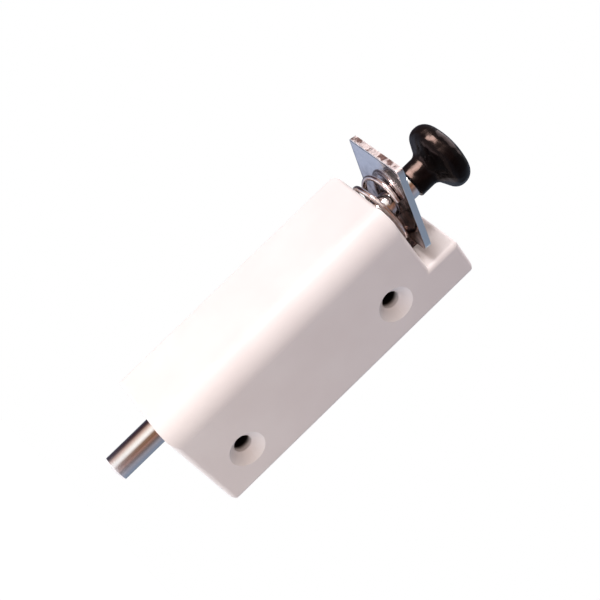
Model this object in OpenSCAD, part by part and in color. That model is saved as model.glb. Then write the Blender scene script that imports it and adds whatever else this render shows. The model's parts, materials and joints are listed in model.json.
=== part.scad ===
// Sliding patio door lock: a round bolt held by a canted release plate.
// +Z runs along the bolt towards the knob, the door face is the plane Y = 0 and the
// origin is the middle of the two screw holes on that face. Millimetres.

/* [Housing] */
// Length of the housing along the bolt
body_z = 76.2; // [70:0.1:90]
// Height of the housing across the screw line
body_x = 30; // [27:0.05:34]
// Depth of the housing off the door
body_y = 23.1; // [21:0.1:28]
// Radius of the long front edge
front_round = 6.5; // [3:0.1:7]
// Radius of the housing's small edges
edge_round = 0.8; // [0.4:0.1:1.5]
// Radius of the edges round the front, at the two ends and on the ledge
end_round = 1.2; // [0.4:0.1:2]
// Radius of the lower corners seen from the front
corner_round = 2.4; // [1:0.1:4]
// Radius of the back corner beside the release plate
back_round = 2.6; // [1:0.1:4]
// Wall thickness
wall = 2.3; // [1.6:0.1:3]
// Thickness of the wall that the bolt leaves through
foot_wall = 4.2; // [3:0.1:6]
// Thickness of the wall behind the spring
head_wall = 4; // [3:0.1:6]
// Thickness of the ribs across the hollow back
rib = 2.4; // [1.5:0.1:3.5]
// Radius inside the corners of the hollow back
room_round = 1.2; // [0.5:0.1:2]

/* [Ledge] */
// Length of the ledge below the release plate
ledge_z = 8.8; // [7:0.1:12]
// Height of the ledge
ledge_x = 10.15; // [8:0.05:11]
// Thickness of the ledge's floor
ledge_floor = 3.6; // [3:0.1:4.5]

/* [Screw holes] */
// Distance between the two screw holes
screw_gap = 46; // [40:0.1:52]
// Distance of the lower screw hole from the bolt end of the housing
screw_foot = 10.6; // [10:0.1:14]
// Distance of the screw holes from the lower edge
screw_edge = 9.5; // [8:0.05:11]
// Diameter of the screw holes
screw_d = 4.4; // [3.5:0.1:5.2]
// Diameter of the countersinks
sink_d = 9; // [7:0.1:9.6]
// Diameter of the screw bosses
boss_d = 9.8; // [8:0.1:11]
// Thickness of the webs between the bosses and the lower wall
web_t = 4.9; // [2:0.1:6]

/* [Bolt] */
// Diameter of the bolt
bolt_d = 6.35; // [5:0.05:7]
// How far the bolt stands out when the door is locked
bolt_out = 13.5; // [8:0.1:14]
// How far the bolt draws back
bolt_throw = 13.5; // [8:0.1:14]
// Distance of the bolt from the housing's upper face
bolt_top = 8.3; // [8.2:0.05:10]
// Distance of the bolt from the door
bolt_door = 11.05; // [11.05:0.05:12]
// Radial clearance of the bolt in its guides
bolt_play = 0.08; // [0.04:0.01:0.1]
// Bevel at the tip of the bolt
tip_bevel = 0.5; // [0.2:0.1:1]
// Diameter of the stud that carries the knob
stud_d = 4.1; // [3:0.1:4.4]
// Length of the stud
stud_z = 7.6; // [5:0.1:9]

/* [Retaining ring and washer] */
// Outside diameter of the retaining ring
ring_d = 11.2; // [9:0.1:11.4]
// Thickness of the retaining ring
ring_t = 0.8; // [0.6:0.05:1]
// Diameter of the bolt in the ring's groove
groove_d = 5; // [4.7:0.1:5.4]
// Width of the retaining ring's mouth
ring_mouth = 4.3; // [3.6:0.1:4.6]
// Radius of the two pockets inside the retaining ring
pocket_r = 1.05; // [0.6:0.05:1.3]
// Outside diameter of the washer above the ring
washer_d = 11; // [9:0.1:11.4]
// Thickness of the washer
washer_t = 1; // [0.6:0.1:1.5]

/* [Release plate] */
// Thickness of the release plate
plate_t = 1.6; // [1.2:0.05:1.8]
// Width of the plate at its top edge
plate_top_w = 19.6; // [17:0.1:20]
// Width of the plate at its shoulders
plate_low_w = 21.6; // [20:0.1:21.8]
// Height of the plate above the bolt's axis
plate_up = 14.1; // [12:0.1:16]
// Depth of the plate's shoulders below the bolt's axis
plate_down = 8.6; // [6:0.1:9.5]
// Cant of the plate when it grips the bolt, in degrees
cant = 12.7; // [11:0.1:14]
// How far the plate is pressed square to free the bolt, in degrees
release = 7; // [4:0.5:8]
// Diameter of the plate's hole
plate_hole_d = 7.2; // [7.1:0.05:7.4]
// Width of the tongue that stands in the ledge
tongue_w = 6.8; // [4:0.1:8]
// Depth of the tongue's pivot below the ledge's floor
tongue_in = 1.4; // [1:0.1:1.6]
// Distance from the housing's upper end to the plate's middle on the bolt's axis
plate_gap = 4.9; // [4.7:0.1:5.5]
// Radial play of the tongue's rounded tip in its groove
tongue_play = 0.08; // [0.05:0.01:0.1]
// Room beside the tongue at the slot's mouth, on the spring's side
mouth_in = 0.45; // [0.4:0.05:0.6]
// Room beside the tongue at the slot's mouth, on the knob's side
mouth_out = 0.7; // [0.4:0.05:1.5]
// Radius of the plate's upper corners
plate_round = 1; // [0.5:0.1:2]
// Radius of the plate's shoulders
shoulder_round = 1.6; // [1:0.1:3]

/* [Spring] */
// Thickness of the spring's wire
wire_d = 1.3; // [1:0.05:1.35]
// Diameter of the spring over the middle of its wire
coil_d = 15.3; // [13:0.1:15.3]
// Rise of the spring in one turn
coil_rise = 2.05; // [2:0.05:2.2]
// How much the spring's far turn leans with the plate
coil_lean = 1.8; // [1.6:0.05:1.9]

/* [Knob] */
// Diameter of the knob
knob_d = 16.8; // [14:0.1:20]
// Length of the knob
knob_z = 13.2; // [12:0.1:16]
// Height of the knob above its widest part
rim_up = 3.87; // [3.6:0.01:4.6]
// Radius of the rim above the widest part
rim_r = 2.95; // [2.4:0.05:3.4]
// Length of the straight band round the widest part
rim_band = 0.3; // [0.1:0.02:0.8]
// Radius of the rim below the widest part
low_rim_r = 2.6; // [2:0.1:3]
// Radius of the curve between the neck and the underside
cove_r = 2; // [1.5:0.1:2.5]
// Distance from the middle of that curve up to the lower rim's middle
cove_drop = 5.24; // [4.8:0.02:5.6]
// Diameter of the knob's neck
neck_d = 7.7; // [7:0.1:9]
// Length of bare bolt between the housing's ledge end and the knob
knob_gap = 1.6; // [1.2:0.1:4]
// Diameter of the threaded insert in the knob
insert_d = 5.4; // [5:0.1:5.8]
// Length of the threaded insert
insert_z = 8; // [6:0.1:9]

/* [Hidden] */
$fn = 64;
eps = 0.02;

// How far a solid that cuts or trims runs past what it works on
over = 1;

// Edges of the housing
x_low = screw_edge;
x_top = screw_edge - body_x;
x_floor = screw_edge - ledge_x;
z_foot = -screw_gap / 2 - screw_foot;
z_end = z_foot + body_z;
z_head = z_end - ledge_z;

// The bolt's axis, tip and upper shoulder
bolt_r = bolt_d / 2;
bolt_x = x_top + bolt_top;
bolt_y = -bolt_door;
z_tip = z_foot - bolt_out;
z_knob = z_end + knob_gap;

// The ring rests on the foot wall and stops the washer at the rib
ring_gap = 0.05;
z_ring = z_foot + foot_wall + ring_gap;
z_washer = z_ring + ring_t;
z_stop = z_washer + washer_t + bolt_throw + ring_gap;
groove_r = groove_d / 2;
ring_play = 0.04;
grip_r = groove_r + ring_play;
pocket_turn = 62;

// The middle rib halves what is left of the hollow back
z_mid_rib = (z_stop + z_head - head_wall) / 2;

// The release plate turns about the rounded tip of its tongue
pivot_x = x_floor + tongue_in;
plate_z = z_head + plate_gap;
pivot_z = plate_z - (pivot_x - bolt_x) * tan(cant);
arm = (pivot_x - bolt_x) / cos(cant);
side_play = 0.15;

// The hole's middle is this much nearer the pivot, to clear the bolt canted and pressed
hole_drop = 0.06;

// The spring's turns, counted from its top, and the height of its wire's middle
wire_r = wire_d / 2;
coil_r = coil_d / 2;
coil_from = -100;
coil_to = 415;
coil_step = 7.5;
coil_steps = floor((coil_to - coil_from) / coil_step);
wire_sides = 12;

// The wire's first stretch lies flat, then lifts off the housing within this angle
coil_lift = 0.3;
lift_turn = 60;

// Heights along the knob from its lower end, and the circles that shape it
neck_r = neck_d / 2;
knob_r = knob_d / 2;
knob_foot = 0.5;
rim_s = knob_z - rim_up;
low_rim_s = rim_s - rim_band;
cove_s = low_rim_s - cove_drop;
cove_end = 118;
rim_x = knob_r - rim_r;
short_arc = 4;
long_arc = 6;

// The dome is the circle that touches the rim's and passes through the knob's top
dome_r = (rim_x * rim_x + rim_up * rim_up - rim_r * rim_r) / 2 / (rim_up - rim_r);
dome_a = asin(rim_x / (dome_r - rim_r));
insert_play = 0.02;

// What a round of radius r takes off a square corner at the origin; none at radius 0
module corner(r) {
  if (r > 0) difference() {
    translate([-over, -over]) square(r + over);
    translate([r, r]) circle(r);
  }
}

// Rectangle with a radius of its own at each corner: low x low y, high x low y, high x
// high y, low x high y
module rounded(x0, y0, x1, y1, r) {
  difference() {
    translate([x0, y0]) square([x1 - x0, y1 - y0]);
    translate([x0, y0]) corner(r[0]);
    translate([x1, y0]) mirror([1, 0]) corner(r[1]);
    translate([x1, y1]) mirror([1, 0]) mirror([0, 1]) corner(r[2]);
    translate([x0, y1]) mirror([0, 1]) corner(r[3]);
  }
}

// Upright solid from an outline drawn in X and Z, from y0 to y1
module slab(y0, y1) {
  translate([0, y1, 0]) rotate([90, 0, 0]) linear_extrude(y1 - y0) children();
}

// Solid from an outline drawn in Y and Z, over the whole height of the housing
module across() {
  translate([x_top - over, 0, 0]) rotate([90, 0, 90]) linear_extrude(body_x + 2 * over) children();
}

// Tall body: its three outlines, seen along the bolt, from the front and from the side.
// The corner that runs into the ledge's bar stays square.
module tall_body() {
  intersection() {
    translate([0, 0, z_foot]) linear_extrude(z_head - z_foot)
      rounded(x_top, -body_y, x_low, 0, [front_round, edge_round, edge_round, edge_round]);
    slab(-body_y - over, over)
      rounded(x_top, z_foot, x_low, z_head, [edge_round, corner_round, 0, edge_round]);
    across() rounded(-body_y, z_foot, 0, z_head, [end_round, edge_round, back_round, end_round]);
  }
}

// Bar along the lower edge that ends as the ledge
module ledge_bar() {
  intersection() {
    translate([0, 0, z_foot]) linear_extrude(body_z)
      rounded(x_floor, -body_y, x_low, 0, [end_round, edge_round, edge_round, edge_round]);
    slab(-body_y - over, over)
      rounded(x_floor, z_foot, x_low, z_end, [edge_round, corner_round, corner_round, edge_round]);
    across() rounded(-body_y, z_foot, 0, z_end, [end_round, edge_round, edge_round, end_round]);
  }
}

// Rooms of the hollow back, seen from the front. The first one's corners stay square on
// the bolt's side, where the retaining ring and the washer run close to the wall.
module rooms() {
  x0 = x_top + wall;
  x1 = x_low - wall;
  r = room_round * [1, 1, 1, 1];
  difference() {
    union() {
      rounded(x0, z_foot + foot_wall, x1, z_stop, [0, room_round, room_round, 0]);
      rounded(x0, z_stop + rib, x1, z_mid_rib, r);
      rounded(x0, z_mid_rib + rib, x1, z_head - head_wall, r);
      rounded(x_floor + ledge_floor, z_head - head_wall + rib, x1, z_end - wall, r);
    }
    for (s = [-1, 1]) {
      translate([0, s * screw_gap / 2]) circle(d = boss_d);
      translate([0, s * screw_gap / 2 - web_t / 2]) square([x1 + over, web_t]);
    }
  }
}

module housing() {
  sink_z = (sink_d - screw_d) / 2;
  color([0.96, 0.95, 0.94]) difference() {
    union() {
      tall_body();
      ledge_bar();
    }
    intersection() {
      translate([0, 0, z_foot]) linear_extrude(body_z)
        rounded(x_top + wall, wall - body_y, x_low - wall, over,
          [front_round - wall, room_round, 0, 0]);
      slab(-body_y, over) rooms();
    }
    translate([bolt_x, bolt_y, z_foot - over])
      cylinder(r = bolt_r + bolt_play, h = z_head - z_foot + 2 * over);
    for (s = [-1, 1]) translate([0, 0, s * screw_gap / 2]) rotate([90, 0, 0]) {
      translate([0, 0, -over]) cylinder(d = screw_d, h = body_y + 2 * over);
      translate([0, 0, body_y - sink_z]) cylinder(d1 = screw_d, d2 = sink_d, h = sink_z);
      translate([0, 0, body_y - eps]) cylinder(d = sink_d, h = over);
    }
    tongue_slot();
  }
}

// Groove in the ledge for the tongue's rounded tip, with a mouth that lets the tongue rock
module tongue_slot() {
  w = tongue_w + 2 * side_play;
  r = plate_t / 2 + tongue_play;
  half = plate_t / 2 / cos(cant);
  out = tongue_in + over;
  translate([pivot_x, bolt_y + w / 2, pivot_z]) rotate([90, 0, 0]) cylinder(r = r, h = w);
  slab(bolt_y - w / 2, bolt_y + w / 2) polygon([
    [pivot_x, pivot_z - r + eps],
    [pivot_x, pivot_z + r - eps],
    [x_floor, pivot_z + tongue_in * tan(cant) + half + mouth_out],
    [pivot_x - out, pivot_z + tongue_in * tan(cant) + half + mouth_out],
    [pivot_x - out, pivot_z + tongue_in * tan(cant - release) - half - mouth_in + tongue_play],
    [x_floor, pivot_z + tongue_in * tan(cant - release) - half - mouth_in + tongue_play]
  ]);
}

module bolt() {
  color([0.78, 0.79, 0.8]) translate([bolt_x, bolt_y, 0]) rotate_extrude() polygon([
    [0, z_tip],
    [bolt_r - tip_bevel, z_tip],
    [bolt_r, z_tip + tip_bevel],
    [bolt_r, z_ring - ring_gap],
    [groove_r, z_ring - ring_gap],
    [groove_r, z_washer + ring_gap],
    [bolt_r, z_washer + ring_gap],
    [bolt_r, z_knob],
    [stud_d / 2, z_knob],
    [stud_d / 2, z_knob + stud_z - tip_bevel],
    [stud_d / 2 - tip_bevel, z_knob + stud_z],
    [0, z_knob + stud_z]
  ]);
}

// Clip pushed into the bolt's groove from the hollow back, so its mouth faces the front
module retaining_ring() {
  color([0.3, 0.31, 0.33]) translate([bolt_x, bolt_y, z_ring]) linear_extrude(ring_t) difference() {
    circle(d = ring_d);
    circle(grip_r);
    translate([-ring_mouth / 2, -ring_d]) square([ring_mouth, ring_d]);
    for (s = [-1, 1]) rotate(s * pocket_turn) translate([0, grip_r]) circle(pocket_r);
  }
}

module stop_washer() {
  color([0.68, 0.69, 0.7]) translate([bolt_x, bolt_y, z_washer + ring_gap]) difference() {
    cylinder(d = washer_d, h = washer_t);
    translate([0, 0, -over]) cylinder(r = bolt_r + bolt_play, h = washer_t + 2 * over);
  }
}

// The plate drawn flat: u runs up from the pivot, v across; the tongue's tip is at the origin
module plate_outline() {
  top = arm + plate_up;
  low = arm - plate_down;
  lean = atan((plate_low_w - plate_top_w) / 2 / (plate_up + plate_down));
  difference() {
    union() {
      polygon([
        [-plate_low_w / 2, low],
        [plate_low_w / 2, low],
        [plate_top_w / 2, top],
        [-plate_top_w / 2, top]
      ]);
      translate([-tongue_w / 2, 0]) square([tongue_w, low + over]);
    }
    for (s = [0, 1]) mirror([s, 0]) {
      translate([-plate_low_w / 2, low]) corner(shoulder_round);
      translate([-plate_top_w / 2, top]) mirror([0, 1]) corner(plate_round);
    }
    translate([0, arm - hole_drop]) circle(d = plate_hole_d);
  }
}

module release_plate() {
  color([0.7, 0.72, 0.75]) translate([pivot_x, bolt_y, pivot_z]) rotate([0, 180 + cant, 0]) {
    // Local X runs up the plate, local Y across it and local Z through it
    translate([0, 0, -plate_t / 2]) rotate([0, 0, -90]) linear_extrude(plate_t) plate_outline();
    rotate([90, 0, 0]) translate([0, 0, -tongue_w / 2]) cylinder(d = plate_t, h = tongue_w);
  }
}

// Height of the wire's middle: it lies on the housing, climbs, then follows the plate
function under_plate(a) = plate_z - z_head - plate_t / 2 / cos(cant) + coil_r * cos(a) * tan(cant)
  - wire_r / cos(cant);
function climb(a) = wire_r + coil_lift * min(1, max(0, 1 + a / lift_turn))
  + coil_rise * max(0, a) / 360 + coil_lean * max(0, a) / 360 * cos(a);
function wire_z(a) = z_head + min(climb(a), under_plate(a));
function wire_at(a) = [bolt_x - coil_r * cos(a), bolt_y - coil_r * sin(a), wire_z(a)];

// One ring of points round the wire, square to the coil seen from above
function wire_ring(a) = [
  for (k = [0:wire_sides - 1]) let (t = k * 360 / wire_sides) wire_at(a)
    + wire_r * cos(t) * [-cos(a), -sin(a), 0] + wire_r * sin(t) * [0, 0, 1]
];

module plate_spring() {
  n = wire_sides;
  rings = [for (i = [0:coil_steps]) wire_ring(coil_from + i * coil_step)];
  pts = [for (ring = rings) for (p = ring) p];
  sides = [
    for (i = [0:coil_steps - 1]) for (k = [0:n - 1])
      [i * n + k, (i + 1) * n + k, (i + 1) * n + (k + 1) % n, i * n + (k + 1) % n]
  ];
  ends = [
    [for (k = [0:n - 1]) k],
    [for (k = [n - 1:-1:0]) coil_steps * n + k]
  ];
  color([0.75, 0.74, 0.75]) polyhedron(points = pts, faces = concat(sides, ends));
}

// Points of an arc about [x, y], from angle a0 to angle a1
function arc(x, y, r, a0, a1, n) = [
  for (i = [0:n]) let (a = a0 + (a1 - a0) * i / n) [x + r * cos(a), y + r * sin(a)]
];

module knob() {
  low_x = knob_r - low_rim_r;
  color([0.05, 0.04, 0.045]) translate([bolt_x, bolt_y, z_knob]) rotate_extrude() polygon(concat(
    [[insert_d / 2 + insert_play, 0]],
    arc(neck_r - knob_foot, knob_foot, knob_foot, -90, 0, short_arc),
    arc(neck_r + cove_r, cove_s, cove_r, 180, cove_end, long_arc),
    arc(low_x, low_rim_s, low_rim_r, cove_end - 180, 0, long_arc),
    arc(rim_x, rim_s, rim_r, 0, 90 - dome_a, long_arc),
    arc(0, knob_z - dome_r, dome_r, 90 - dome_a, 90, short_arc),
    [[0, insert_z + insert_play], [insert_d / 2 + insert_play, insert_z + insert_play]]
  ));
}

module knob_insert() {
  color([0.78, 0.62, 0.32]) translate([bolt_x, bolt_y, z_knob]) difference() {
    cylinder(d = insert_d, h = insert_z);
    translate([0, 0, -over]) cylinder(r = stud_d / 2 + insert_play, h = insert_z + 2 * over);
  }
}

housing();
bolt();
retaining_ring();
stop_washer();
release_plate();
plate_spring();
knob();
knob_insert();
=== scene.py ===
# %% [markdown]
# # A sliding patio door lock
#
# The lock is a white cast housing with a chromed bolt running through it. A canted steel
# plate grips the bolt, a coil spring pushes the plate, and a black knob moves the bolt.
# The CAD model is loaded first and never changed: it says where everything is. The pieces
# that catch the light are then built again as smooth surfaces over it, in metres.

import json
import math

import bmesh
import bpy
import numpy as np
from mathutils import Matrix, Vector


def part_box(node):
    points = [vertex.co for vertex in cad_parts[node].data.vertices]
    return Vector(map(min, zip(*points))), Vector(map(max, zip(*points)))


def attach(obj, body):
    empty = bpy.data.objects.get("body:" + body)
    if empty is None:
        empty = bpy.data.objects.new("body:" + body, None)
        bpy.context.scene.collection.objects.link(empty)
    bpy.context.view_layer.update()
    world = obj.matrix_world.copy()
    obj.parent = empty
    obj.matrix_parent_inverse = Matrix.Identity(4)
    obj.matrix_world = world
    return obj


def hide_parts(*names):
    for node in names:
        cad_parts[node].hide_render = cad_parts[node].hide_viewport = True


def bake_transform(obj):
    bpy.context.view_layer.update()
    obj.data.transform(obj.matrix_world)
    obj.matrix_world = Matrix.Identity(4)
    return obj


MM = 0.001
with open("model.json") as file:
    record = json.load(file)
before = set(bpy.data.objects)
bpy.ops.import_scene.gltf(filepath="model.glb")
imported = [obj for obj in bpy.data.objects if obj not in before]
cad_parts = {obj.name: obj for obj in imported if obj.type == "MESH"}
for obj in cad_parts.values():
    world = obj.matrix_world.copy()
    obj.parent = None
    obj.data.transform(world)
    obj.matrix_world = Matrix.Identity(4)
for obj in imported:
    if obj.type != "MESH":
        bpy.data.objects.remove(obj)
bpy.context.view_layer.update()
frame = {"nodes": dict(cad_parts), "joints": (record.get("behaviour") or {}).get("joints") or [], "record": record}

# %% [markdown]
# ## Places, read from the frame
#
# Every size that the CAD already knows is read back from its boxes, so the surfaces below
# still fit when a dimension of the part changes. The bolt's axis is the middle of its box.

# %% Places
bolt_low, bolt_high = (Vector(c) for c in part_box("bolt"))
knob_low, knob_high = (Vector(c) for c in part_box("knob"))
ring_low, ring_high = (Vector(c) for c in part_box("retaining_ring"))
plate_low, plate_high = (Vector(c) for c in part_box("release_plate"))
spring_low, spring_high = (Vector(c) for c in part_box("plate_spring"))
joints = {j["name"]: j for j in frame["joints"]}
tilt_pos = Vector(joints["plate_tilt"]["pos_m"])

axis_x = (bolt_low.x + bolt_high.x) / 2
axis_y = (bolt_low.y + bolt_high.y) / 2
bolt_r = (bolt_high.y - bolt_low.y) / 2
print("bolt axis (mm):", round(axis_x / MM, 2), round(axis_y / MM, 2), "radius", round(bolt_r / MM, 3))

# %% [markdown]
# ## Helpers for surfaces
#
# A surface is a grid of points: one array of shape rows x columns x 3, worked out all at
# once. Neighbouring grid points become the corners of four-sided faces. Every shape here is
# closed at least one way, so the last column always meets the first one. Modelling by hand
# would do as well, but a formula keeps each curve exact and follows the CAD's sizes.

# %% Grid to faces
def grid_quads(rows, cols, close_rows=False):
    """Corner numbers of the quads of a grid whose point (r, c) has number r * cols + c. The last
    column is joined to the first and, if close_rows is asked for, the last row as well."""
    r = np.arange(rows if close_rows else rows - 1)[:, None]
    c = np.arange(cols)[None, :]
    r1, c1 = (r + 1) % rows, (c + 1) % cols
    corners = [r * cols + c, r1 * cols + c, r1 * cols + c1, r * cols + c1]
    return np.stack(corners, axis=-1).reshape(-1, 4)


# %% Faces to a piece
MERGE_WITHIN = 1e-7


def make_piece(name, points, faces, material, sharp_deg=35.0):
    """A mesh object from points and faces, with doubled points merged, faces turned outwards, and
    smooth shading broken only at edges sharper than sharp_deg."""
    mesh = bpy.data.meshes.new(name)
    corners = np.asarray(points, dtype=float).reshape(-1, 3)
    mesh.from_pydata(corners.tolist(), [], [list(f) for f in faces])
    bm = bmesh.new()
    bm.from_mesh(mesh)
    bmesh.ops.remove_doubles(bm, verts=bm.verts, dist=MERGE_WITHIN)
    bmesh.ops.recalc_face_normals(bm, faces=bm.faces)
    if bm.calc_volume(signed=True) < 0:
        bmesh.ops.reverse_faces(bm, faces=bm.faces)
    limit = math.radians(sharp_deg)
    for edge in bm.edges:
        edge.smooth = len(edge.link_faces) == 2 and edge.calc_face_angle(0.0) < limit
    for face in bm.faces:
        face.smooth = True
    bm.to_mesh(mesh)
    bm.free()
    mesh.materials.append(material)
    piece = bpy.data.objects.new(name, mesh)
    bpy.context.scene.collection.objects.link(piece)
    print(name, "has", len(mesh.polygons), "faces")
    return piece

# %% [markdown]
# ## Helpers for finishes
#
# Every finish is a node material, because no real surface is one flat value: noise is wired
# to the base colour, the roughness and a faint bump. The noise reads Object coordinates,
# which are metres here, so its scale is given as a size in mm. A small class keeps the
# wiring short: each of its methods adds one node and gives back that node's output, so a
# finish reads like a formula.

# %% Wiring
NOISE_LOW, NOISE_HIGH = 0.3, 0.7


class Wiring:
    """A node tree that is being wired up."""

    def __init__(self, tree):
        self.nodes, self.links = tree.nodes, tree.links

    def plug(self, value, socket):
        """Joins another node's output to the socket, or sets a number or a colour on it."""
        if isinstance(value, bpy.types.NodeSocket):
            self.links.new(value, socket)
        elif isinstance(value, tuple):
            socket.default_value = (*value, 1.0)
        else:
            socket.default_value = value

    def place(self, source="Object"):
        """The coordinates of the point that is being coloured."""
        return self.nodes.new("ShaderNodeTexCoord").outputs[source]

    def split(self, vector):
        """The three parts of a vector."""
        parts = self.nodes.new("ShaderNodeSeparateXYZ")
        self.plug(vector, parts.inputs["Vector"])
        return parts.outputs["X"], parts.outputs["Y"], parts.outputs["Z"]

    def noise(self, size_mm, detail=3.0, stretch=(1, 1, 1)):
        """A noise whose blobs are about size_mm wide, drawn out along an axis by its stretch. Most of
        its values lie between NOISE_LOW and NOISE_HIGH."""
        scaled = self.nodes.new("ShaderNodeMapping")
        scaled.inputs["Scale"].default_value = [1 / (size_mm * MM * s) for s in stretch]
        self.plug(self.place(), scaled.inputs["Vector"])
        node = self.nodes.new("ShaderNodeTexNoise")
        node.inputs["Scale"].default_value = 1.0
        node.inputs["Detail"].default_value = detail
        self.plug(scaled.outputs["Vector"], node.inputs["Vector"])
        return node.outputs["Fac"]

    def math(self, operation, *values):
        """One arithmetic step. Each value is a number or another node's output."""
        node = self.nodes.new("ShaderNodeMath")
        node.operation = operation
        for socket, value in zip(node.inputs, values):
            self.plug(value, socket)
        return node.outputs["Value"]

    def fade(self, value, start, end, low=0.0, high=1.0, kind="SMOOTHSTEP"):
        """value, from start to end, carried to the range low to high and held outside it."""
        node = self.nodes.new("ShaderNodeMapRange")
        node.interpolation_type = kind
        for name, number in zip(("From Min", "From Max", "To Min", "To Max"), (start, end, low, high)):
            node.inputs[name].default_value = number
        self.plug(value, node.inputs["Value"])
        return node.outputs["Result"]

    def span(self, noise, low, high):
        """A noise carried evenly to the range low to high."""
        return self.fade(noise, NOISE_LOW, NOISE_HIGH, low, high, "LINEAR")

    def ramp(self, value, stops):
        """A colour ramp over value: stops are (position, colour) pairs."""
        node = self.nodes.new("ShaderNodeValToRGB")
        ends = node.color_ramp.elements
        while len(ends) < len(stops):
            ends.new(0.5)
        for end, (position, colour) in zip(ends, stops):
            end.position = position
            end.color = (*colour, 1.0)
        self.plug(value, node.inputs["Fac"])
        return node.outputs["Color"]

    def tones(self, noise, dark, light):
        """Two colours shared out by a noise."""
        return self.ramp(noise, [(NOISE_LOW, dark), (NOISE_HIGH, light)])

    def mix(self, share, first, second):
        """first where share is 0 and second where it is 1. Each is a colour or a node's output."""
        node = self.nodes.new("ShaderNodeMix")
        node.data_type = "RGBA"
        self.plug(share, node.inputs["Factor"])
        self.plug(first, node.inputs["A"])
        self.plug(second, node.inputs["B"])
        return node.outputs["Result"]

    def relief(self, value, depth_mm, under=None):
        """The surface's direction with value pressed depth_mm into it, over another relief if given."""
        node = self.nodes.new("ShaderNodeBump")
        node.inputs["Distance"].default_value = depth_mm * MM
        self.plug(value, node.inputs["Height"])
        if under is not None:
            self.plug(under, node.inputs["Normal"])
        return node.outputs["Normal"]


# %% An empty finish
def new_finish(name, metallic=0.0, coat=0.0, ior=1.5):
    """A material, its wiring and its Principled shader, whose plain numbers are set on its own
    sockets."""
    mat = bpy.data.materials.new(name)
    mat.use_nodes = True
    wire = Wiring(mat.node_tree)
    shader = wire.nodes["Principled BSDF"]
    shader.inputs["Metallic"].default_value = metallic
    shader.inputs["Coat Weight"].default_value = coat
    shader.inputs["IOR"].default_value = ior
    return mat, wire, shader

# %% [markdown]
# ## White enamel
#
# The housing is die-cast zinc under white enamel: nearly white, half matt, with the very
# slight waviness that a sprayed coat has. Below their first two or three millimetres the screw
# bores are painted nearly black: painted shade, standing for the deep shade inside them. A
# formula for the distance from a screw's axis finds them, so the housing's mesh needs no change.

# %% Painted shade in the bores
BORE_CLEAR = 0.15 * MM
BORE_SHADE_FROM, BORE_SHADE_TO = -20.2 * MM, -18.6 * MM
# Painted shade: the nearly black colour inside the screw bores.
BORE_SHADE = (0.006, 0.005, 0.004)

screws = next(m for m in frame["record"]["mounts"] if m["name"] == "screw_holes")["dims"]
screw_z = screws["spacing_y_mm"] / 2 * MM
bore_r = screws["hole_r_mm"] * MM + BORE_CLEAR
print("screws at z (mm): +-", round(screw_z / MM, 2), "bores end at radius", round(bore_r / MM, 2))


def painted_bore_shade(wire):
    """1 where the bores get painted shade: within bore_r of a screw axis, sqrt(x^2 + (|z| - screw_z)^2),
    and deeper than the two depths along y. 0 elsewhere."""
    x, y, z = wire.split(wire.place())
    off_axis = wire.math("SUBTRACT", wire.math("ABSOLUTE", z), screw_z)
    squares = [wire.math("MULTIPLY", v, v) for v in (x, off_axis)]
    inside = wire.math("LESS_THAN", wire.math("SQRT", wire.math("ADD", *squares)), bore_r)
    return wire.math("MULTIPLY", inside, wire.fade(y, BORE_SHADE_FROM, BORE_SHADE_TO))

# %% Enamel
ENAMEL_DARK, ENAMEL_LIGHT = (0.81, 0.785, 0.775), (0.845, 0.83, 0.82)
ENAMEL_CLOUD_MM, ENAMEL_GLOSS_MM, ORANGE_PEEL_MM = 14.0, 5.0, 1.1


def white_enamel():
    """Two near-white tones in soft clouds, with a roughness that wanders and a faint orange peel, and
    painted shade, nearly black, down the bores."""
    mat, wire, shader = new_finish("white_enamel", coat=0.08)
    shader.inputs["Coat Roughness"].default_value = 0.2
    tone = wire.tones(wire.noise(ENAMEL_CLOUD_MM, 2.0), ENAMEL_DARK, ENAMEL_LIGHT)
    # Painted shade down the bores, mixed over the enamel's tone.
    wire.plug(wire.mix(painted_bore_shade(wire), tone, BORE_SHADE), shader.inputs["Base Color"])
    wire.plug(wire.span(wire.noise(ENAMEL_GLOSS_MM), 0.42, 0.54), shader.inputs["Roughness"])
    wire.plug(wire.relief(wire.noise(ORANGE_PEEL_MM, 2.0), 0.012), shader.inputs["Normal"])
    return mat


enamel = white_enamel()
print("made", enamel.name)

# %% [markdown]
# ## Bright metals
#
# The bolt and the spring are bright plated steel. A mirror shows only what is around it, so
# their look comes from the room in the lighting step, and the finish adds fine lines. The
# ring, the washer and the insert are duller, and the same function makes them.

# %% Plated and turned metals
def bright_metal(name, dark, light, rough, line_mm, stretch, depth_mm):
    """A bare or plated metal: the tone runs from dark to light along drawn-out lines, and the
    roughness and the relief follow the same lines."""
    mat, wire, shader = new_finish(name, metallic=1.0)
    lines = wire.noise(line_mm, 4.0, stretch)
    wire.plug(wire.tones(lines, dark, light), shader.inputs["Base Color"])
    wire.plug(wire.span(lines, *rough), shader.inputs["Roughness"])
    wire.plug(wire.relief(lines, depth_mm), shader.inputs["Normal"])
    print("made", name)
    return mat


bolt_plating = bright_metal(
    "bolt_plating", (0.78, 0.78, 0.79), (0.88, 0.88, 0.89), (0.05, 0.12), 0.5, (1, 1, 0.25), 0.0015
)
spring_bright = bright_metal(
    "spring_bright", (0.60, 0.47, 0.43), (0.95, 0.86, 0.82), (0.12, 0.22), 1.1, (1, 1, 1), 0.003
)
ring_dark = bright_metal(
    "ring_dark", (0.10, 0.10, 0.11), (0.17, 0.17, 0.18), (0.35, 0.5), 0.3, (1, 1, 1), 0.004
)
washer_zinc = bright_metal(
    "washer_zinc", (0.58, 0.59, 0.61), (0.70, 0.71, 0.72), (0.25, 0.38), 0.4, (1, 1, 1), 0.003
)
insert_brass = bright_metal(
    "insert_brass", (0.72, 0.52, 0.22), (0.80, 0.60, 0.28), (0.2, 0.3), 0.3, (1, 1, 0.3), 0.004
)
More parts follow.
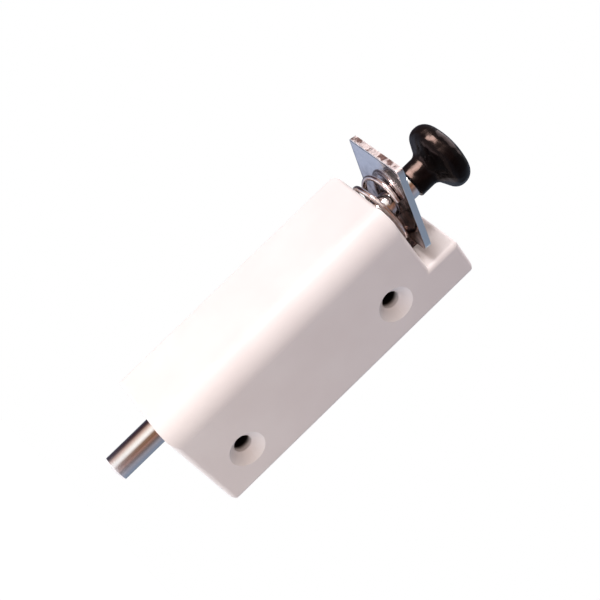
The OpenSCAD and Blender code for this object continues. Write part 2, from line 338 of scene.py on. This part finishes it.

# %% [markdown]
# ## Sheet steel
#
# The plate is rolled sheet, polished by tumbling: its mirror is gently wavy. Its edges are
# as the shears left them, rougher, the sides bluer, and the top one torn. Low down on its
# spring side, and on its cut walls other than the sides and the top, it is painted dark brown:
# painted shade, standing for the shaded gap that the plate mirrors. These follow the sheet and
# not the room, so the mesh will carry each point's place on the plate as an attribute: x across,
# y from 0 at the shoulders to 1 at the top, and z through the sheet, 1 on the spring side.

# %% Places on the plate
# Painted shade on the spring side: the plate heights where it is gone and where it is full, and how far blotches
# and the slant across move it.
GAP_SHADE_GONE, GAP_SHADE_FULL = 1.08, 0.55
GAP_SHADE_BLOTCH, GAP_SHADE_SLANT = 0.3, 0.2
SPRING_FACE = (0.90, 0.98)
CUT_WALL = (0.93, 0.99)
OUTER_SIDE = (0.80, 0.88)
TOP_EDGE = (0.97, 0.99)


def plate_masks(wire, blotches):
    """Four shares from 0 to 1. The painted shade grows as y, plus the blotches and the slant across,
    falls, on the spring side only. Cut is the wall of the sheet, where |z| falls below 1. Outer is
    the side of the plate, where |x| nears 1, and top its upper edge, where y nears 1."""
    attribute = wire.nodes.new("ShaderNodeAttribute")
    attribute.attribute_name = "place"
    x, y, z = wire.split(attribute.outputs["Vector"])
    height = wire.math("ADD", y, wire.math("MULTIPLY", blotches, GAP_SHADE_BLOTCH))
    height = wire.math("ADD", height, wire.math("MULTIPLY", x, GAP_SHADE_SLANT))
    low_down = wire.fade(height, GAP_SHADE_FULL, GAP_SHADE_GONE, 1.0, 0.0)
    gap_shade = wire.math("MULTIPLY", low_down, wire.fade(z, *SPRING_FACE))
    cut = wire.fade(wire.math("ABSOLUTE", z), *CUT_WALL, 1.0, 0.0)
    outer = wire.fade(wire.math("ABSOLUTE", x), *OUTER_SIDE)
    return gap_shade, cut, outer, wire.fade(y, *TOP_EDGE)

# %% Polished, with painted shade, and sheared
POLISH_DARK, POLISH_LIGHT = (0.70, 0.72, 0.75), (0.80, 0.81, 0.83)
# Painted shade: dark browns standing for the shaded gap that the spring side mirrors, and for the shade on the
# inner cut walls.
GAP_SHADE = [(0.38, (0.09, 0.065, 0.065)), (0.62, (0.48, 0.36, 0.33))]
SHEARED_BLUE = (0.64, 0.80, 0.90)
TORN = [(0.40, (0.30, 0.20, 0.18)), (0.50, (0.95, 0.88, 0.86))]
CUT_ROUGHER, TORN_ROUGHER = 0.2, 0.25
TORN_DEPTH_MM, WAVE_DEPTH_MM = 0.45, 0.05
LINE_MM, BLOTCH_MM, FLECK_MM, WAVE_MM = 0.6, 2.2, 1.9, 4.0


def sheet_steel():
    """Polished faces with painted shade in dark brown low on the spring side, blue sheared sides, the
    other cut walls in the same painted shade, and a flecked, torn top edge. The cut walls are
    rougher by CUT_ROUGHER, and the top one by TORN_ROUGHER more."""
    mat, wire, shader = new_finish("sheet_steel", metallic=1.0)
    lines = wire.noise(LINE_MM, 4.0, (1, 5, 1))
    blotches = wire.noise(BLOTCH_MM, 3.0)
    flecks = wire.noise(FLECK_MM, 2.0)
    gap_shade, cut, outer, top_edge = plate_masks(wire, blotches)
    # Painted shade in brown: low on the spring side, and on every cut wall but the sides and the top.
    brown = wire.ramp(blotches, GAP_SHADE)
    face = wire.mix(gap_shade, wire.tones(lines, POLISH_DARK, POLISH_LIGHT), brown)
    wall = wire.mix(top_edge, wire.mix(outer, brown, SHEARED_BLUE), wire.ramp(flecks, TORN))
    wire.plug(wire.mix(cut, face, wall), shader.inputs["Base Color"])

    rough = wire.math("MULTIPLY", cut, CUT_ROUGHER)
    rough = wire.math("ADD", rough, wire.math("MULTIPLY", top_edge, TORN_ROUGHER))
    rough = wire.math("ADD", rough, wire.span(lines, 0.08, 0.17))
    wire.plug(rough, shader.inputs["Roughness"])
    waves = wire.relief(wire.noise(WAVE_MM, 1.0), WAVE_DEPTH_MM)
    torn = wire.relief(wire.math("MULTIPLY", top_edge, flecks), TORN_DEPTH_MM, waves)
    wire.plug(torn, shader.inputs["Normal"])
    return mat


plate_steel = sheet_steel()
print("made", plate_steel.name)

# %% [markdown]
# ## Black moulding
#
# The knob is a black moulding that handling has made dull in patches, and it is slightly
# wavy, as moulded plastic is. Its highlight is a warm one, so the shader's specular tint is.

# %% Black moulding
KNOB_DARK, KNOB_LIGHT = (0.0004, 0.0003, 0.0004), (0.0012, 0.0009, 0.0009)
WARM_GLOSS = (1.0, 0.74, 0.66)
KNOB_TONE_MM, HANDLED_MM, MOULD_WAVE_MM, MOULD_WAVE_DEPTH_MM = 3.0, 2.6, 3.0, 0.5


def black_moulding():
    """A deep black with a trace of brown, dulled in soft patches, over gentle waves."""
    mat, wire, shader = new_finish("black_moulding", ior=1.2)
    wire.plug(WARM_GLOSS, shader.inputs["Specular Tint"])
    wire.plug(wire.tones(wire.noise(KNOB_TONE_MM), KNOB_DARK, KNOB_LIGHT), shader.inputs["Base Color"])
    wire.plug(wire.span(wire.noise(HANDLED_MM), 0.13, 0.28), shader.inputs["Roughness"])
    waves = wire.relief(wire.noise(MOULD_WAVE_MM, 1.0), MOULD_WAVE_DEPTH_MM)
    wire.plug(waves, shader.inputs["Normal"])
    return mat


knob_black = black_moulding()
print("made", knob_black.name)

# %% [markdown]
# ## Finishes on the CAD pieces that stay
#
# The housing, the retaining ring, the washer and the insert already have the right shape,
# so only their material slots change. Their meshes aren't touched.

# %% Dress the CAD nodes
for node, finish in (
    ("housing", enamel),
    ("retaining_ring", ring_dark),
    ("stop_washer", washer_zinc),
    ("knob_insert", insert_brass),
):
    for material_slot in frame["nodes"][node].material_slots:
        material_slot.material = finish
print("dressed the housing, ring, washer and insert")

# %% [markdown]
# ## Turned shapes
#
# The bolt and the knob are round about the same axis. Both are made as a lathe makes them:
# a profile of radius against height is carried round the axis. Rounded parts of a profile
# are arcs. The Screw modifier does the same, but here the profile can be worked out from the
# CAD's boxes point by point.

# %% Arcs and turning
def arc(x, y, r, start_deg, end_deg, steps):
    """Points on a circle about (x, y): x + r cos a, y + r sin a, from the first angle to the last."""
    a = np.radians(np.linspace(start_deg, end_deg, steps + 1))
    return np.stack([x + r * np.cos(a), y + r * np.sin(a)], axis=-1)


def revolve(profile, turns=128):
    """A profile of (radius, height) points turned about the bolt's axis: the point at angle a is
    axis + (radius cos a, radius sin a, height)."""
    profile = np.asarray(profile, dtype=float)
    a = np.linspace(0, 2 * math.pi, turns, endpoint=False)
    r, z = profile[:, :1], profile[:, 1:]
    points = np.stack([axis_x + r * np.cos(a), axis_y + r * np.sin(a), z + 0 * a], axis=-1)
    return points, grid_quads(len(profile), turns)

# %% [markdown]
# ## The bolt
#
# The real bolt is a rod turned on a lathe. The nose has a small rounded bevel, the groove
# holds the retaining ring, and a thinner stud at the top goes into the knob. A cylinder would
# need the groove and the stud cut into it, so one profile draws them all instead.

# %% Turn the bolt
NOSE_ROUND = 0.5 * MM
GROOVE_R = 2.5 * MM
GROOVE_PLAY = 0.05 * MM
STUD_R = 2.05 * MM
SOFT = 0.12 * MM
STUD_BEVEL = 4 * SOFT

nose_z, shoulder_z, stud_top = bolt_low.z, knob_low.z, bolt_high.z
nose = arc(bolt_r - NOSE_ROUND, nose_z + NOSE_ROUND, NOSE_ROUND, -90, 0, 8)
groove = [
    (bolt_r, ring_low.z - GROOVE_PLAY - SOFT),
    (bolt_r - SOFT, ring_low.z - GROOVE_PLAY),
    (GROOVE_R, ring_low.z - GROOVE_PLAY),
    (GROOVE_R, ring_high.z + GROOVE_PLAY),
    (bolt_r - SOFT, ring_high.z + GROOVE_PLAY),
    (bolt_r, ring_high.z + GROOVE_PLAY + SOFT),
]
stud = [
    (bolt_r, shoulder_z - SOFT),
    (bolt_r - SOFT, shoulder_z),
    (STUD_R, shoulder_z),
    (STUD_R, stud_top - STUD_BEVEL),
    (STUD_R - STUD_BEVEL, stud_top),
]
bolt_profile = np.vstack([[(0, nose_z)], nose, groove, stud, [(0, stud_top)]])
bolt = make_piece("bolt_rod", *revolve(bolt_profile), bolt_plating)
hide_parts("bolt")
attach(bolt, "bolt")

# %% [markdown]
# ## The knob
#
# The knob is another turned shape. Five arcs make it: a soft foot, a hollow that flares
# from the neck, the rim's lower and upper halves, and a shallow dome. Each arc starts in the
# direction in which the last one ended, so the highlight runs over the joins without a
# break, which a sphere pulled into shape would hardly do.

# %% Turn the knob
KNOB_R = (knob_high.x - knob_low.x) / 2
KNOB_H = knob_high.z - knob_low.z
NECK_R = 3.85 * MM
FOOT_R = 0.5 * MM
COVE_R = 2.0 * MM
COVE_END = 118
COVE_DROP = 5.24 * MM
LOW_RIM_R = 2.6 * MM
RIM_BAND = 0.3 * MM
RIM_R = 2.95 * MM
RIM_UP = 3.87 * MM
SOCKET_R = 2.72 * MM
SOCKET_Z = 8.02 * MM

rim_z = KNOB_H - RIM_UP
low_rim_z = rim_z - RIM_BAND
cove_z = low_rim_z - COVE_DROP
rim_x = KNOB_R - RIM_R
dome_r = (rim_x**2 + RIM_UP**2 - RIM_R**2) / 2 / (RIM_UP - RIM_R)
dome_deg = math.degrees(math.asin(rim_x / (dome_r - RIM_R)))
knob_profile = np.vstack(
    [
        [(0, SOCKET_Z), (SOCKET_R, SOCKET_Z), (SOCKET_R, 0)],
        arc(NECK_R - FOOT_R, FOOT_R, FOOT_R, -90, 0, 8),
        arc(NECK_R + COVE_R, cove_z, COVE_R, 180, COVE_END, 12),
        arc(KNOB_R - LOW_RIM_R, low_rim_z, LOW_RIM_R, COVE_END - 180, 0, 14),
        arc(rim_x, rim_z, RIM_R, 0, 90 - dome_deg, 14),
        arc(0, KNOB_H - dome_r, dome_r, 90 - dome_deg, 90, 10),
    ]
)
knob_profile[:, 1] += knob_low.z
knob = make_piece("mushroom_knob", *revolve(knob_profile), knob_black, sharp_deg=50)
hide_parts("knob")
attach(knob, "bolt")

# %% [markdown]
# ## The release plate
#
# The plate is sheared from sheet and tumbled, which leaves flat faces and barely rounded
# edges. A flat shape with Solidify and Bevel would come close, but the tongue's tip is a
# full round while the other edges are nearly sharp. The plate has a hole, so it is a ring:
# one parameter goes round the outline and the other goes round the cross-section, from the
# hole's wall over one face, round the edge, back over the other face and home. The whole
# plate is one closed grid, and the edge's radius may change along it.

# %% Plate sizes
CANT = math.radians(12.7)
PLATE_T = 1.6 * MM
PLATE_TOP_W = 19.6 * MM
TONGUE_W = 6.8 * MM
SHOULDER_R = 1.6 * MM
TOP_R = 1.0 * MM
EDGE_R = 0.07 * MM
HOLE_R = 3.6 * MM
HOLE_DROP = 0.06 * MM
PLATE_UP = 14.1 * MM
PLATE_DOWN = 8.6 * MM

plate_half_w = (plate_high.y - plate_low.y) / 2
arm = (tilt_pos.x - axis_x) / math.cos(CANT)
top_u, low_u, hole_u = arm + PLATE_UP, arm - PLATE_DOWN, arm - HOLE_DROP
print("plate from its pivot (mm): hole", round(hole_u / MM, 2), "top", round(top_u / MM, 2))

# %% Plate outline
def stretch_of(points, inward, radius):
    """A stretch of the outline: its points, the direction into the plate and the edge's radius."""
    count = len(points)
    return np.asarray(points), np.broadcast_to(inward, (count, 2)), np.full(count, radius)


def plate_outline():
    """Half of the outline as (across, up) points, from the middle of the tongue's tip to the middle of
    the top, then the same mirrored. On an arc the way into the plate points at the arc's middle.
    The tongue's tip is a full round of half the sheet, because the plate rocks on it."""
    tongue, top_half, half_t = TONGUE_W / 2, PLATE_TOP_W / 2, PLATE_T / 2
    lean = math.degrees(math.atan2(plate_half_w - top_half, top_u - low_u))
    low_mid = np.array([plate_half_w - SHOULDER_R, low_u + SHOULDER_R])
    top_mid = np.array([top_half - TOP_R, top_u - TOP_R])
    shoulder = arc(*low_mid, SHOULDER_R, -90, lean, 10)
    top_corner = arc(*top_mid, TOP_R, lean, 90, 8)
    side = np.linspace(shoulder[-1], top_corner[0], 14)[1:-1]
    out_of_side = np.array([math.cos(math.radians(lean)), math.sin(math.radians(lean))])
    stretches = [
        stretch_of(np.linspace((0, -half_t), (tongue, -half_t), 7), (0, 1), half_t),
        stretch_of(np.linspace((tongue, 0), (tongue, low_u), 8)[:-1], (-1, 0), EDGE_R),
        stretch_of([(tongue, low_u)], (-1, 1), EDGE_R),
        stretch_of(np.linspace((tongue, low_u), shoulder[0], 8)[1:-1], (0, 1), EDGE_R),
        stretch_of(shoulder, (low_mid - shoulder) / SHOULDER_R, EDGE_R),
        stretch_of(side, -out_of_side, EDGE_R),
        stretch_of(top_corner, (top_mid - top_corner) / TOP_R, EDGE_R),
        stretch_of(np.linspace(top_corner[-1], (0, top_u), 14)[1:], (0, -1), EDGE_R),
    ]
    points, inward, radius = (np.concatenate(part) for part in zip(*stretches))
    flip = np.array([-1, 1])
    return (
        np.vstack([points, points[-2:0:-1] * flip]),
        np.vstack([inward, inward[-2:0:-1] * flip]),
        np.concatenate([radius, radius[-2:0:-1]]),
    )

# %% Plate surface
def plate_surface():
    """Upper half of the section: the hole's rim turns up onto the face, the face runs straight from
    rim to outline, and the edge turns down. On a round of radius r at angle t the point has moved
    r (1 - cos t) inwards and stands r (1 - sin t) below the face. The lower half mirrors it."""
    outline, inward, radius = plate_outline()
    middle = np.array([0, hole_u])
    radial = outline - middle
    radial /= np.linalg.norm(radial, axis=1, keepdims=True)
    rim = middle + HOLE_R * radial
    inner = rim + EDGE_R * radial
    outer = outline + radius[:, None] * inward
    half_t = PLATE_T / 2
    quarter = np.radians(np.linspace(0, 90, 6))
    level = np.ones(len(outline))
    upper = [
        (rim + radial * EDGE_R * (1 - math.cos(t)), (half_t - EDGE_R * (1 - math.sin(t))) * level)
        for t in quarter
    ]
    upper += [(inner + share * (outer - inner), half_t * level) for share in np.linspace(0, 1, 9)[1:-1]]
    upper += [
        (outline + radius[:, None] * inward * (1 - math.cos(t)), half_t - radius * (1 - math.sin(t)))
        for t in quarter[::-1]
    ]
    lower = [(point, -height) for point, height in upper[::-1]]
    return np.stack([np.column_stack([point, height]) for point, height in upper + lower])


flat_plate = plate_surface()
across, up, through = flat_plate[..., 0], flat_plate[..., 1], flat_plate[..., 2]
plate_points = np.stack(
    [
        tilt_pos.x - up * math.cos(CANT) - through * math.sin(CANT),
        axis_y + across,
        tilt_pos.z + up * math.sin(CANT) - through * math.cos(CANT),
    ],
    axis=-1,
)
plate_faces = grid_quads(*plate_points.shape[:2], close_rows=True)
plate = make_piece("sheet_plate", plate_points, plate_faces, plate_steel, sharp_deg=40)

# %% Places on the plate, for its finish
def mark_place(mesh):
    """Writes each point's place on the plate for its finish. With the pivot at (tx, tz) and cant C,
    up = (tx - x) cos C + (z - tz) sin C and through = (tx - x) sin C - (z - tz) cos C."""
    co = np.empty(3 * len(mesh.vertices))
    mesh.vertices.foreach_get("co", co)
    x, y, z = co.reshape(-1, 3).T
    point_up = (tilt_pos.x - x) * math.cos(CANT) + (z - tilt_pos.z) * math.sin(CANT)
    point_through = (tilt_pos.x - x) * math.sin(CANT) - (z - tilt_pos.z) * math.cos(CANT)
    shares = [
        (y - axis_y) / plate_half_w,
        (point_up - low_u) / (top_u - low_u),
        point_through / (PLATE_T / 2),
    ]
    place = mesh.attributes.new("place", "FLOAT_VECTOR", "POINT")
    place.data.foreach_set("vector", np.stack(shares, axis=-1).ravel())


mark_place(plate.data)
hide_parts("release_plate")
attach(plate, "plate")

# %% [markdown]
# ## The spring
#
# The spring is a round wire carried along a coil. The path is a circle whose height climbs
# a little each turn and leans with the plate. At each point the wire's circle stands
# across the path, on the outward direction and the one square to it. A bevelled curve would
# give the same tube.

# %% Coil the spring
WIRE_R = 0.65 * MM
COIL_R = (spring_high.y - spring_low.y) / 2 - WIRE_R
COIL_RISE = 2.05 * MM
COIL_LEAN = 1.8 * MM
COIL_LIFT = 0.3 * MM
COIL_FROM, COIL_TO = -100, 415
LIFT_OVER = 60
WIRE_STEPS, WIRE_SIDES = 260, 20
END_SOFT = 0.2
seat_z = spring_low.z


def wire_path(deg):
    """Height of the wire over its seat at an angle counted from the top: its radius, plus the rise
    per turn, plus a lean that follows the cosine, and never into the plate."""
    on = np.maximum(deg, 0)
    climb = WIRE_R + COIL_LIFT * np.clip(1 + deg / LIFT_OVER, 0, 1)
    climb += COIL_RISE * on / 360 + COIL_LEAN * on / 360 * np.cos(np.radians(deg))
    plate_face = tilt_pos.z - seat_z - PLATE_T / 2 / math.cos(CANT) - WIRE_R / math.cos(CANT)
    under = plate_face + (tilt_pos.x - axis_x + COIL_R * np.cos(np.radians(deg))) * math.tan(CANT)
    return seat_z + np.minimum(climb, under)


def sweep(path, radius, sides):
    """A tube: path point + radius (cos t outward + sin t across), with across = tangent x outward,
    and both ends closed by a slightly smaller ring and a middle point."""
    tangent = np.gradient(path, axis=0)
    tangent /= np.linalg.norm(tangent, axis=1, keepdims=True)
    outward = path - [axis_x, axis_y, 0]
    outward[:, 2] = 0
    outward -= (outward * tangent).sum(1, keepdims=True) * tangent
    outward /= np.linalg.norm(outward, axis=1, keepdims=True)
    upward = np.cross(tangent, outward)
    t = np.linspace(0, 2 * math.pi, sides, endpoint=False)
    ring = np.cos(t)[None, :, None] * outward[:, None] + np.sin(t)[None, :, None] * upward[:, None]
    tube = path[:, None] + radius * ring
    soft = END_SOFT * radius
    start = path[0] - tangent[0] * soft + (radius - soft) * ring[0]
    end = path[-1] + tangent[-1] * soft + (radius - soft) * ring[-1]
    first = np.repeat((path[0] - tangent[0] * soft)[None], sides, axis=0)
    last = np.repeat((path[-1] + tangent[-1] * soft)[None], sides, axis=0)
    return np.concatenate([first[None], start[None], tube, end[None], last[None]])


# %% Wire along the coil
angles = np.linspace(COIL_FROM, COIL_TO, WIRE_STEPS)
coil_path = np.stack(
    [
        axis_x - COIL_R * np.cos(np.radians(angles)),
        axis_y - COIL_R * np.sin(np.radians(angles)),
        wire_path(angles),
    ],
    axis=-1,
)
coil_points = sweep(coil_path, WIRE_R, WIRE_SIDES)
coil_faces = grid_quads(*coil_points.shape[:2])
spring = make_piece("coil_spring", coil_points, coil_faces, spring_bright, sharp_deg=50)
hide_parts("plate_spring")
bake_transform(spring)

# %% [markdown]
# ## Camera
#
# The camera stands where the photograph was taken from. Its three directions were found by
# fitting the housing's edges and the bolt, and are written as the columns of its matrix.

# %% Camera
CAMERA_AT = Vector((-201.6, -218.1, -4.3)) * MM
CAMERA_RIGHT = Vector((0.4889, -0.4961, 0.7176))
CAMERA_FORWARD = Vector((0.6782, 0.7335, 0.0450))
FOCAL_MM = 75.66

right = CAMERA_RIGHT.normalized()
back = -(CAMERA_FORWARD - CAMERA_FORWARD.dot(right) * right).normalized()
up_axis = back.cross(right)
camera_data = bpy.data.cameras.new("camera")
camera_data.lens = FOCAL_MM
camera_data.sensor_width = 36.0
camera_data.clip_start = 0.01
camera = bpy.data.objects.new("camera", camera_data)
bpy.context.scene.collection.objects.link(camera)
turned = Matrix((right, up_axis, back)).transposed().to_4x4()
camera.matrix_world = Matrix.Translation(CAMERA_AT) @ turned
bpy.context.scene.camera = camera
print("camera looks along", [round(v, 3) for v in -back])

# %% [markdown]
# ## The room
#
# Bright metal is a picture of the room, so the room is painted on the world by direction:
# a white soft box on the left, a brown room behind the camera, a cool grey wall on the
# right and a dark gap at the back. A panorama is the usual way, but a few colours by
# direction are enough here, and each of them can be tuned alone. The camera itself sees
# plain white behind the lock.

# %% Colours of the room, by degrees round the horizon
ROOM = [
    (0, (0.25, 0.30, 0.38)),  # cool wall
    (70, (0.10, 0.10, 0.13)),
    (112, (0.04, 0.02, 0.03)),  # dark gap
    (135, (0.12, 0.07, 0.06)),
    (162, (0.75, 0.52, 0.44)),  # soft box, warm at its edge
    (185, (1.15, 1.05, 0.95)),
    (200, (1.20, 1.15, 1.10)),
    (212, (0.95, 0.85, 0.78)),
    (226, (0.30, 0.18, 0.12)),  # brown room behind the camera
    (245, (0.25, 0.12, 0.07)),
    (258, (0.36, 0.19, 0.14)),
    (280, (0.18, 0.13, 0.12)),
    (308, (0.32, 0.31, 0.36)),  # cool window
    (340, (0.25, 0.28, 0.36)),
    (360, (0.25, 0.30, 0.38)),
]
CEILING = (0.30, 0.33, 0.35)
GROUND = (0.48, 0.52, 0.67)
GROUND_ENDS = (-0.45, -0.15)
CEILING_STARTS = (0.45, 0.80)
PAPER = (1.0, 1.0, 1.0)

# %% World
def room_world():
    """Colour by azimuth near the horizon, turning to CEILING above and to GROUND below, by the
    height of the direction. Camera rays see PAPER."""
    world = bpy.data.worlds.new("room")
    bpy.context.scene.world = world
    world.use_nodes = True
    wire = Wiring(world.node_tree)
    x, y, z = wire.split(wire.place("Generated"))
    turn = wire.math("WRAP", wire.math("ARCTAN2", y, x), 2 * math.pi, 0.0)
    share = wire.math("DIVIDE", turn, 2 * math.pi)
    walls = wire.ramp(share, [(deg / 360, colour) for deg, colour in ROOM])
    room = wire.mix(wire.fade(z, *GROUND_ENDS), GROUND, walls)
    room = wire.mix(wire.fade(z, *CEILING_STARTS), room, CEILING)
    camera_ray = wire.nodes.new("ShaderNodeLightPath").outputs["Is Camera Ray"]
    wire.plug(wire.mix(camera_ray, room, PAPER), wire.nodes["Background"].inputs["Color"])


room_world()
print("painted a room of", len(ROOM), "colours")

# %% [markdown]
# ## The lamps
#
# Four soft square lamps aim at the lock. The key, on the left, lights the housing's side
# until it is nearly white. The top lamp lights the ends. The fill is warm and weak and lifts
# the front, and it is hidden from reflections, so it paints no square on the metal. The glint
# is linked to the knob alone, because a black moulding needs a lamp so strong for its
# highlight that everything white beside it would burn out.

# %% Soft lights
LAMPS = {
    "key": ((-0.75, 0.05, 0.10), 0.2, 2.85, (1.0, 0.94, 0.96)),
    "top": ((-0.05, 0.15, 0.74), 0.6, 5.2, (1.0, 0.87, 0.90)),
    "fill": ((-0.6, -0.5, 0.05), 0.4, 0.95, (0.90, 0.62, 0.50)),
    "glint": ((-0.5, 0.03, 0.1), 0.4, 30.0, (1.0, 0.85, 0.80)),
}


def soft_light(name, place, size, watts, colour):
    """A square area light at place that faces the origin, where the lock is."""
    data = bpy.data.lights.new(name, "AREA")
    data.size = size
    data.energy = watts
    data.color = colour
    light = bpy.data.objects.new(name, data)
    bpy.context.scene.collection.objects.link(light)
    light.location = place
    light.rotation_euler = (-Vector(place)).to_track_quat("-Z", "Y").to_euler()
    return light


lamps = {name: soft_light(name, *values) for name, values in LAMPS.items()}
lamps["fill"].visible_glossy = False
knob_only = bpy.data.collections.new("knob_only")
knob_only.objects.link(knob)
lamps["glint"].light_linking.receiver_collection = knob_only
print("hung", len(lamps), "lamps")

# %% [markdown]
# ## The floor
#
# The floor is a plain pale disc below the bolt. It glows very slightly, so that it stays
# white where the lock's shadow falls on it.

# %% Floor
FLOOR_R = 0.16
FLOOR_DROP = 0.04
FLOOR_SIDES = 96
FLOOR_CLOUD_MM = 60.0
FLOOR_DARK, FLOOR_LIGHT = (0.90, 0.90, 0.90), (0.93, 0.93, 0.93)
FLOOR_GLOW, FLOOR_GLOW_STRENGTH = (0.9, 1.0, 1.0), 0.28


def pale_paint():
    """Two pale tones in wide clouds, with a weak glow."""
    mat, wire, shader = new_finish("floor_paint")
    wire.plug(wire.tones(wire.noise(FLOOR_CLOUD_MM), FLOOR_DARK, FLOOR_LIGHT), shader.inputs["Base Color"])
    wire.plug(FLOOR_GLOW, shader.inputs["Emission Color"])
    shader.inputs["Emission Strength"].default_value = FLOOR_GLOW_STRENGTH
    shader.inputs["Roughness"].default_value = 0.8
    return mat


floor_z = bolt_low.z - FLOOR_DROP
turn = np.linspace(0, 2 * math.pi, FLOOR_SIDES, endpoint=False)
floor_x, floor_y = axis_x + FLOOR_R * np.cos(turn), axis_y + FLOOR_R * np.sin(turn)
floor_ring = np.stack([floor_x, floor_y, np.full(FLOOR_SIDES, floor_z)], axis=-1)
floor_mesh = bpy.data.meshes.new("floor")
floor_mesh.from_pydata(floor_ring.tolist(), [], [list(range(FLOOR_SIDES))])
floor_mesh.materials.append(pale_paint())
floor = bpy.data.objects.new("floor", floor_mesh)
bpy.context.scene.collection.objects.link(floor)
print("floor at z (mm):", round(floor_z / MM, 1))

# %% Colours as they are
# The Standard view shows the computed colours unchanged, as a product photograph does.
bpy.context.scene.view_settings.view_transform = "Standard"
print("view:", bpy.context.scene.view_settings.view_transform)
